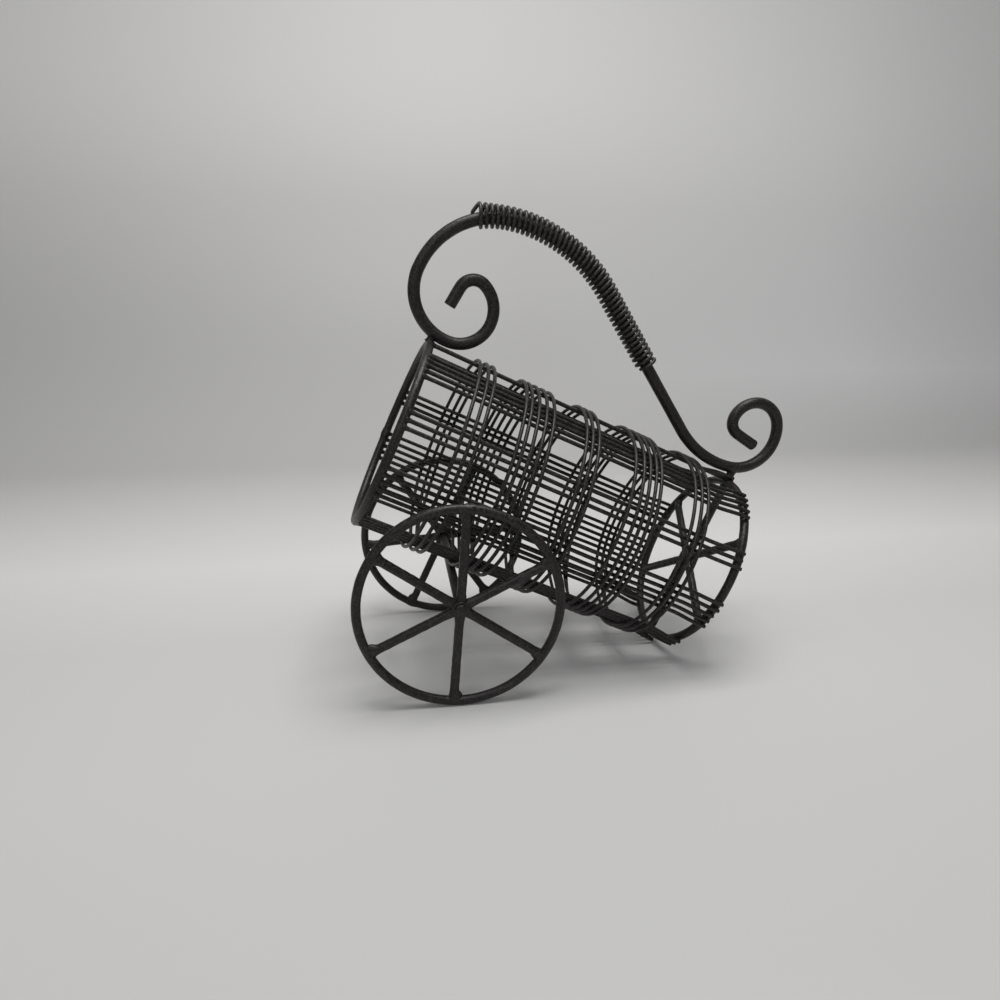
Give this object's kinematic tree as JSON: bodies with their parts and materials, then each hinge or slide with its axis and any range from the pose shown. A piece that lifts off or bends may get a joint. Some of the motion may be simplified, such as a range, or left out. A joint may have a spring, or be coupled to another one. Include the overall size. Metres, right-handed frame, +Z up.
{
  "type": "wine bottle holder",
  "caption": "Tilted cage of iron bars and hoops on a two-wheeled axle, holding one wine bottle under a scrolled carrying handle.",
  "frame": {"origin": "middle of the bounding box's bottom face, on the table that the cart stands on", "axes": "+X along the cart from the cage's mouth to its rear end, +Y along the axle from the near wheel to the far wheel, +Z up"},
  "size_m": [0.2514, 0.1286, 0.2484],
  "materials": {
    "rod_paint": "satin dark brown-black paint on iron rod",
    "wire_paint": "satin dark brown paint on thin iron wire",
    "grip_paint": "satin dark brown paint on a coil of wire"
  },
  "bodies": {
    "cart": {"axle": "rod_paint", "front_ring": "rod_paint", "rear_rim": "rod_paint", "rear_spokes": "rod_paint", "handle": "rod_paint", "front_post": "rod_paint", "rear_post": "rod_paint", "cage_bar_01": "wire_paint", "cage_bar_02": "wire_paint", "cage_bar_03": "wire_paint", "cage_bar_04": "wire_paint", "cage_bar_05": "wire_paint", "cage_bar_06": "wire_paint", "cage_bar_07": "wire_paint", "cage_bar_08": "wire_paint", "cage_bar_09": "wire_paint", "cage_bar_10": "wire_paint", "cage_bar_11": "wire_paint", "cage_bar_12": "wire_paint", "cage_bar_13": "wire_paint", "cage_bar_14": "wire_paint", "cage_bar_15": "wire_paint", "cage_bar_16": "wire_paint", "cage_bar_17": "wire_paint", "cage_bar_18": "wire_paint", "cage_bar_19": "wire_paint", "cage_bar_20": "wire_paint", "cage_bar_21": "wire_paint", "cage_bar_22": "wire_paint", "cage_bar_23": "wire_paint", "cage_bar_24": "wire_paint", "cage_bar_25": "wire_paint", "cage_bar_26": "wire_paint", "cage_bar_27": "wire_paint", "cage_bar_28": "wire_paint", "cage_bar_29": "wire_paint", "cage_bar_30": "wire_paint", "cage_bar_31": "wire_paint", "cage_bar_32": "wire_paint", "cage_bar_33": "wire_paint", "cage_bar_34": "wire_paint", "cage_bar_35": "wire_paint", "cage_bar_36": "wire_paint", "cage_bar_37": "wire_paint", "cage_bar_38": "wire_paint", "cage_bar_39": "wire_paint", "cage_bar_40": "wire_paint", "hoop_winding_1": "wire_paint", "hoop_winding_2": "wire_paint", "hoop_winding_3": "wire_paint", "hoop_winding_4": "wire_paint", "hoop_winding_5": "wire_paint", "handle_coil": "grip_paint"},
    "near_wheel": {"near_wheel_rim": "rod_paint", "near_wheel_spokes": "rod_paint"},
    "far_wheel": {"far_wheel_rim": "rod_paint", "far_wheel_spokes": "rod_paint"}
  },
  "joints": [
    {"name": "near_wheel_spin", "type": "hinge", "parent": "cart", "child": "near_wheel", "pos_m": [-0.07136, -0.0592, 0.053], "axis": [0, 1, 0], "continuous": true},
    {"name": "far_wheel_spin", "type": "hinge", "parent": "cart", "child": "far_wheel", "pos_m": [-0.07136, 0.0592, 0.053], "axis": [0, 1, 0], "continuous": true}
  ]
}
